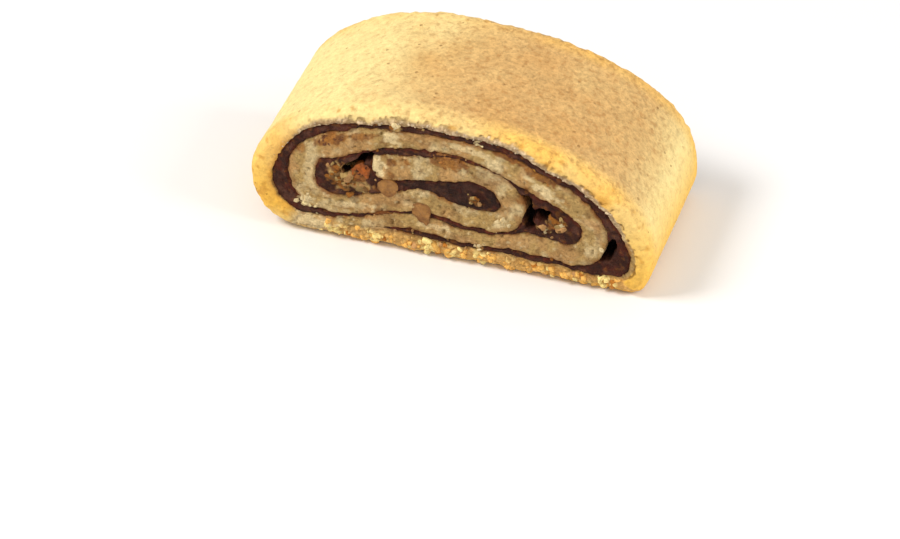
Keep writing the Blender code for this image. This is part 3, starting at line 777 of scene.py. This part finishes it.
def lumps_at(name, look, middles, radii, tones, seed):
    """Small lumps as one piece: for each middle a ball, squared off by a power of its coordinates,
    stretched, turned at random and dented by noise."""
    rng = np.random.default_rng(seed)
    unit, quads, fans = ball(*CRUMB_BALL)
    blocky = np.sign(unit) * np.abs(unit) ** 0.7
    stretch = rng.uniform(0.55, 1.1, (len(middles), 3))
    turns = np.linalg.qr(rng.normal(size=(len(middles), 3, 3)))[0]
    turns *= np.sign(np.linalg.det(turns))[:, None, None]
    points = (blocky[None] * (radii[:, None] * stretch)[:, None]) @ turns
    strewn = unit[None] + rng.uniform(0, 90, (len(middles), 1, 3))
    dents = layered(strewn.reshape(-1, 3), 1.1, seed, 2)
    points *= 1 + 0.75 * dents.reshape(len(middles), len(unit), 1)
    points = (points + middles[:, None]).reshape(-1, 3)
    points[:, 2] = np.maximum(points[:, 2], 0.02)
    starts = (np.arange(len(middles)) * len(unit))[:, None, None]
    faces = [(part[None] + starts).reshape(-1, part.shape[1]).tolist() for part in (quads, fans)]
    none = np.zeros(len(points))
    tone = np.repeat(tones, len(unit), axis=0)
    make_piece(name, "dough", "dough", look, points, faces[0] + faces[1], tone, crust=none, browned=none)


def chosen(rng, count, palette, weights):
    """A colour from the palette for each lump, a little lighter or darker each time."""
    picks = rng.choice(len(palette), count, p=weights)
    return np.array(palette)[picks] * rng.uniform(0.85, 1.15, (count, 1))


def make_crumbs(look, name, behind, seed):
    """Crumbs that the knife left on one cut: along the paste's edges, on the pale inner edge of the
    crust and, at the front, in clusters in and round the hollows."""
    rng = np.random.default_rng(seed)
    outer, inner = paste_sides()
    row = rng.integers(0, len(outer), ON_PASTE)
    share = rng.beta(0.4, 0.4, ON_PASTE)[:, None]
    on_paste = inner[row] * (1 - share) + outer[row] * share
    inner, outer, _ = outer_turn_sides()
    row = rng.integers(0, len(inner), ON_EDGE)
    way = outer[row] - inner[row]
    way /= np.linalg.norm(way, axis=1)[:, None]
    on_edge = inner[row] + way * rng.uniform(0.0, 0.7, (ON_EDGE, 1))
    on_edge = on_edge[on_edge[:, 1] > EDGE_ABOVE]
    edge_count = len(on_edge)
    spots = [on_paste, on_edge]
    radii = [rng.uniform(0.1, 0.24, ON_PASTE), rng.uniform(0.1, 0.22, edge_count)]
    depths = [rng.uniform(0.25, 0.4, ON_PASTE), rng.uniform(0.2, 0.4, edge_count)]
    cream = [False] * (ON_PASTE + edge_count)
    for x, z, apart, count, largest, deep, is_cream in () if behind else CLUSTERS:
        cream += [is_cream] * count
        spots.append(rng.normal((x, z), apart * 0.7, (count, 2)))
        radii.append(rng.uniform(0.35, 1.0, count) * largest)
        depths.append(deep + rng.uniform(-0.1, 0.1, count))
    spots, radii, depths = np.concatenate(spots), np.concatenate(radii), np.concatenate(depths)
    middles = np.stack([spots[:, 0], 0 * depths, spots[:, 1]], axis=1)
    depths += rounding(inside_outline(middles)) + hollow_depth(middles)
    middles[:, 1] = DEPTH - depths if behind else depths
    palette = (CRUMB_PALE * 0.8, CRUMB, CRUMB_PINK, CRUMB_ORANGE, CRUMB_DARK)
    tones = 0.78 * chosen(rng, len(middles), palette, (0.06, 0.34, 0.22, 0.15, 0.23))
    tones[ON_PASTE:ON_PASTE + edge_count] = RIM_PALE * rng.uniform(0.5, 1.25, (edge_count, 1))
    tones[cream] = CRUMB_PALE * rng.uniform(0.9, 1.15, (sum(cream), 1))
    lumps_at(name, look, ragged(middles), radii, tones, seed)


def make_granules(look, name, behind, seed):
    """The coarse golden granules of the base at one cut, more than half sunk in the dough."""
    rng = np.random.default_rng(seed)
    x = rng.uniform(BASE_LEFT[0] - 1.0, BASE_RIGHT[0] - 2.0, GRANULES)
    cream = rng.random(GRANULES) < 0.4
    x[cream] = rng.choice(CREAM_SPOTS, cream.sum()) + rng.normal(0.0, 0.7, cream.sum())
    z = rng.beta(1.1, 1.1, GRANULES) * 2.0 + 0.6
    radii = 0.32 + 0.55 * rng.beta(1.2, 1.6, GRANULES)
    sunk = radii * rng.uniform(0.6, 0.85, GRANULES) + 0.32 + 0.5 * ramp(z, 1.6, 0.2)
    y = DEPTH - sunk if behind else sunk
    palette = (CRUMB_GOLD, CRUMB_CREAM * 0.8, CRUMB_ORANGE * 1.3, CRUMB_PINK)
    tones = 1.15 * chosen(rng, GRANULES, palette, (0.66, 0.12, 0.1, 0.12))
    tones[cream] = CRUMB_CREAM * rng.uniform(0.85, 1.15, (cream.sum(), 1))
    lumps_at(name, look, np.stack([x, y, z], axis=1), radii, tones, seed + 1)


# Date paste

def paste_look():
    """Date paste: dark brown, redder and greyer in patches, the grey partly a painted sheen, with a soft wet
    sheen.
    """
    tree = Tree("date_paste")
    fine, soft = tree.noise(2000.0, 4.0, 0.65), tree.noise(700.0, 3.0, 0.6)
    colour = tree.scaled(tree.tone(), 1.0 + 1.4 * (fine - 0.5) + 1.2 * (soft - 0.5))
    return tree.finish(colour, 0.42 + 0.35 * soft, fine * 0.7 + soft * 0.7, 0.0006, 0.16)


def make_paste(look):
    """The paste's band carried from the core to its end, grooved along its sides, with hollows at
    both cuts painted dark as shade, and smeared crumbs at the front one."""
    outer, inner = paste_sides()
    middle = (outer + inner) / 2
    reach = outer - inner
    width = np.linalg.norm(reach, axis=1)[:, None]
    reach = reach * np.maximum(width, PASTE_LEAST) / np.maximum(width, 1e-6)
    across, depth = profile(PASTE_STEPS, PASTE_WALLS, PASTE_OVERLAP)
    width = np.repeat(np.maximum(width, PASTE_LEAST), len(across))
    points, faces, across, depth = carried(middle - reach * 0.5, middle + reach * 0.5, across, depth)
    points = ragged(points)
    flat = points * IN_FACE
    edge = np.minimum(across, 1 - across) * width
    grain, mark = grained(flat, 0.7, 751)
    recess = 0.24 + 0.18 * layered(flat, 1.6, 711) + 0.08 * noise(flat, 0.45, 721) - 0.12 * grain * mark
    recess += 0.2 * ramp(edge, 0.3, 0.0)
    crumbs = stained(points, CRUMBS_ON_PASTE)
    crumbs_shown = crumbs * (depth == 0)
    sunk = hollow_depth(points)
    points[:, 1] += inward(depth) * (recess * (1 - 0.7 * crumbs_shown) + sunk)
    smear = mixed(CRUMB_ORANGE, CRUMB, ramp(noise(flat, 0.7, 771), -0.3, 0.5),
                  STAIN * 0.7, 0.8 * ramp(noise(flat, 0.5, 781), 0.0, 0.4))
    deep = 0.5 * (1 - crumbs) * stained(points, PASTE_DEEP)
    tone = mixed(
        PASTE,
        PASTE_RED, 0.5 * ramp(layered(flat, 1.2, 731), 0.0, 0.5),
        # Grey patches away from the edges, partly a painted sheen
        PASTE_GREY_SHEEN, 0.8 * ramp(layered(flat, 1.1, 741), -0.05, 0.4) * ramp(edge, 0.1, 0.5),
        PASTE_RED, 0.6 * ramp(edge, 0.3, 0.04) * ramp(noise(flat, 0.9, 765), -0.4, 0.4),
        CRUMB_ORANGE * 0.8, 0.28 * ramp(noise(flat, 0.5, 761), 0.45, 0.7),
        smear, crumbs_shown * ramp(sunk, 0.8, 0.2),
        # Painted shade in the hollows, and the darker patch of the core
        PASTE_SHADE_AND_DARK, np.maximum(ramp(sunk, 0.3, 1.6), deep))
    make_piece("date_paste_roll", "date_paste", "date_paste", look, points, faces, tone)


# Walnut

def walnut_look():
    """Walnut: painted tone with fine veins and a faint oily gloss."""
    tree = Tree("walnut_kernel")
    fine, veins = tree.noise(1900.0, 4.0, 0.65), tree.noise(620.0, 5.0, 0.7)
    colour = tree.scaled(tree.tone(), 0.5 + 0.6 * fine + 0.4 * veins)
    colour = tree.blended(colour, WALNUT_SKIN * 0.7, (veins - 0.55).stretched(0.0, 0.12) * 0.5)
    return tree.finish(colour, 0.45 + 0.3 * veins, fine * 0.5 + veins * 0.6, 0.0003, 0.3)


def make_walnut(look, seed, side, number, x, z, wide, high, turn, colour, sunk):
    """A lump of walnut cut at the face: a ball stretched to its size, its radius broken by noise, the
    knife's plane pressed into it. The deeper ones are rough, lobed and furrowed where a second noise
    crosses zero. The others are smooth, darker below as a painted shade, and narrow there if they are
    tall. The rust coloured one is browner below, also a painted shade. Lighter patches are partly its
    own tone and partly a painted highlight."""
    unit, quads, fans = ball(*WALNUT_BALL)
    rough = ramp(sunk, 0.03, 0.07)
    furrow = rough * ramp(np.abs(noise(unit, 0.62, seed + 2)), 0.22, 0.0)
    size = np.array([wide / 2, WALNUT_DEPTH, high / 2])
    lobe, lobe_mark = grained(unit * size * IN_FACE, 0.8, seed + 11)
    wrinkle = 1 + (0.26 + 0.06 * rough) * layered(unit, 1.0, seed) + 0.06 * noise(unit, 0.22, seed + 5)
    wrinkle += rough * (0.16 * lobe - 0.08) - 0.07 * furrow
    points = unit * wrinkle[:, None] * size
    points[:, 0] *= 1 + 0.6 * (high > 1.2 * wide) * (1 - rough) * np.clip(unit[:, 2], -1.0, 0.3)
    plane = sunk + 0.16 * layered(points * IN_FACE, 0.9, seed + 9) + 0.14 * furrow
    plane += 0.2 * rough * (1 - lobe * lobe_mark)
    depth = np.maximum(points[:, 1], plane)
    across, up = turned(points[:, 0], points[:, 2], turn)
    behind = side == "back"
    points = np.stack([across + x, DEPTH - depth if behind else depth, up + z], axis=1)
    rim = ramp(np.hypot(unit[:, 0], unit[:, 2]), 0.72, 0.98)
    patches = layered(points, 0.8, seed + 3)
    # Painted shade: the rust coloured one is browner below
    browner = 0.8 * (colour is WALNUT_RUST) * ramp(unit[:, 2] + 0.5 * patches, -0.1, -0.6)
    tone = mixed(
        colour,
        WALNUT_SKIN, (0.25 + 0.35 * rough) * rim + 0.3 * furrow * (1 - rim),
        WALNUT_BROWN * 0.9, browner,
        # Lighter patches, partly the nut's own tone and partly a painted highlight
        colour * 1.3, 0.7 * ramp(patches, 0.05, 0.5) * (1 - rim),
        WALNUT_SKIN, 0.5 * rough * (1 - lobe))
    tone = mixed(
        tone * (1 + 0.4 * rough * (lobe_mark - 0.5))[:, None],
        WALNUT_SKIN, (0.3 + 0.25 * rough) * ramp(patches, -0.02, -0.45),
        # Painted shade: the smooth ones are darker below
        WALNUT_SKIN, 0.5 * (1 - rough) * ramp(unit[:, 2] + 0.4 * patches, 0.0, -1.0))
    way = -1 if behind else 1
    faces = quads[:, ::way].tolist() + fans[:, ::way].tolist()
    name = f"{side}_{number}"
    make_piece("kernel_" + name, "walnut_" + name, "walnut", look, points, faces, tone)


# Shader maths

class Value:
    """A socket that carries a number, with arithmetic that adds Math nodes."""

    def __init__(self, tree, socket):
        self.tree = tree
        self.socket = socket

    def _math(self, operation, first, second):
        return self.tree.number("ShaderNodeMath", {"operation": operation}, {0: first, 1: second})

    def __add__(self, other):
        return self._math("ADD", self, other)

    def __sub__(self, other):
        return self._math("SUBTRACT", self, other)

    def __rsub__(self, other):
        return self._math("SUBTRACT", other, self)

    def __mul__(self, other):
        return self._math("MULTIPLY", self, other)

    __radd__ = __add__
    __rmul__ = __mul__

    def stretched(self, low, high):
        """Eased from 0 at low to 1 at high."""
        settings = {"interpolation_type": "SMOOTHSTEP"}
        return self.tree.number("ShaderNodeMapRange", settings, {0: self, 1: low, 2: high})

    def towards(self, other, share):
        """From this value to the other by the share of the other."""
        return self + (other - self) * share


class Tree:
    """A new material and its nodes, with one method that adds any node. Scales are in cells a metre."""

    def __init__(self, name):
        self.look = bpy.data.materials.new(name)
        self.look.use_nodes = True
        self.nodes = self.look.node_tree.nodes
        self.links = self.look.node_tree.links
        self.shader = self.nodes["Principled BSDF"]
        self.place = self.add("ShaderNodeTexCoord").outputs["Object"]

    def add(self, kind, settings=None, inputs=None):
        """A new node: its settings are set first, then its sockets' values or links."""
        node = self.nodes.new(kind)
        for name, value in (settings or {}).items():
            setattr(node, name, value)
        for name, value in (inputs or {}).items():
            self.feed(node.inputs[name], value)
        return node

    def feed(self, socket, value):
        """Gives a socket a link or a fixed value."""
        if isinstance(value, Value):
            value = value.socket
        if isinstance(value, bpy.types.NodeSocket):
            self.links.new(value, socket)
        else:
            socket.default_value = value

    def number(self, kind, settings, inputs, output=0):
        """An output of a new node, to reckon with."""
        return Value(self, self.add(kind, settings, inputs).outputs[output])

    def tone(self):
        """The colour painted on the points."""
        return self.add("ShaderNodeAttribute", {"attribute_name": "tone"}).outputs["Color"]

    def mask(self, name):
        """A number painted on the points."""
        return self.number("ShaderNodeAttribute", {"attribute_name": name}, {}, "Fac")

    def noise(self, scale, detail, roughness):
        """Noise from 0 to 1."""
        inputs = {"Vector": self.place, "Scale": scale, "Detail": detail, "Roughness": roughness}
        return self.number("ShaderNodeTexNoise", {}, inputs, "Fac")

    def cells(self, scale, output="Distance"):
        """The distance from the middle of the nearest cell or, from Color, its own random number."""
        return self.number("ShaderNodeTexVoronoi", {}, {"Vector": self.place, "Scale": scale}, output)

    def scaled(self, colour, value):
        """A colour times a number, by a vector scale."""
        inputs = {0: colour, 3: value}
        return self.add("ShaderNodeVectorMath", {"operation": "SCALE"}, inputs).outputs["Vector"]

    def blended(self, first, second, share):
        """From the first colour to the second, which is fixed, by the share of the second."""
        inputs = {0: share, 6: first, 7: (*second, 1.0)}
        return self.add("ShaderNodeMix", {"data_type": "RGBA"}, inputs).outputs[2]

    def finish(self, colour, roughness, height, distance, gloss):
        """The material, with its colour, its roughness, a bump of a height times a distance in metres
        and its specular level on the shader."""
        bump = self.add("ShaderNodeBump", {}, {"Strength": 1.0, "Distance": distance, "Height": height})
        self.feed(self.shader.inputs["Base Color"], colour)
        self.feed(self.shader.inputs["Roughness"], roughness)
        self.feed(self.shader.inputs["Normal"], bump.outputs["Normal"])
        self.feed(self.shader.inputs["Specular IOR Level"], gloss)
        return self.look


# Stage

def aimed(thing, aim, turn, rise, distance):
    """A camera or a lamp moved a distance in metres away from its aim, at a turn and a rise in
    degrees, and turned to face it."""
    turn, rise = math.radians(turn), math.radians(rise)
    back = Vector((math.sin(turn) * math.cos(rise), -math.cos(turn) * math.cos(rise), math.sin(rise)))
    thing.location = Vector(aim) + back * distance
    thing.rotation_euler = back.to_track_quat("Z", "Y").to_euler()


def make_stage():
    """A pale floor, even light all round, the soft square lamps, and the camera at the photograph's
    angle and distance."""
    mesh = bpy.data.meshes.new("floor")
    near, far = -FLOOR_REACH, FLOOR_REACH
    mesh.from_pydata([(near, near, 0), (far, near, 0), (far, far, 0), (near, far, 0)], [], [(0, 1, 2, 3)])
    floor = added("floor", mesh)
    look = bpy.data.materials.new("pale_table")
    look.use_nodes = True
    shader = look.node_tree.nodes["Principled BSDF"]
    shader.inputs["Base Color"].default_value = FLOOR_COLOUR
    shader.inputs["Roughness"].default_value = FLOOR_ROUGHNESS
    mesh.materials.append(look)
    world = bpy.data.worlds.new("room")
    world.use_nodes = True
    world.node_tree.nodes["Background"].inputs["Color"].default_value = ROOM_COLOUR
    world.node_tree.nodes["Background"].inputs["Strength"].default_value = ROOM_LIGHT
    bpy.context.scene.world = world
    for name, turn, rise, power, size in LAMPS:
        lamp = added(name, bpy.data.lights.new(name, "AREA"))
        lamp.data.energy = power
        lamp.data.size = size
        aimed(lamp, (0, 0, 0), turn, rise, LAMP_DISTANCE)
    camera = added("camera", bpy.data.cameras.new("camera"))
    camera.data.lens = CAMERA_LENS
    camera.data.sensor_width = CAMERA_SENSOR
    camera.data.clip_start = CAMERA_NEAR
    aimed(camera, placed(np.array(CAMERA_AIM)), CAMERA_TURN, CAMERA_RISE, CAMERA_DISTANCE * MM)
    bpy.context.scene.camera = camera
    bpy.context.scene.view_settings.view_transform = "Standard"


def main():
    """Every piece, then the stage."""
    dough = dough_look()
    make_inner_turns(dough)
    make_crust(dough)
    make_paste(paste_look())
    for behind, side in enumerate(("front", "back")):
        make_crumbs(dough, "crumbs_" + side, behind, CRUMB_SEED + behind)
        make_granules(dough, "granules_" + side, behind, GRANULE_SEED + behind)
    kernel = walnut_look()
    seed = WALNUT_SEED
    for side, walnuts in WALNUTS.items():
        for number, walnut in enumerate(walnuts, 1):
            make_walnut(kernel, seed, side, number, *walnut)
            seed += WALNUT_SEED_STEP
    make_stage()


main()
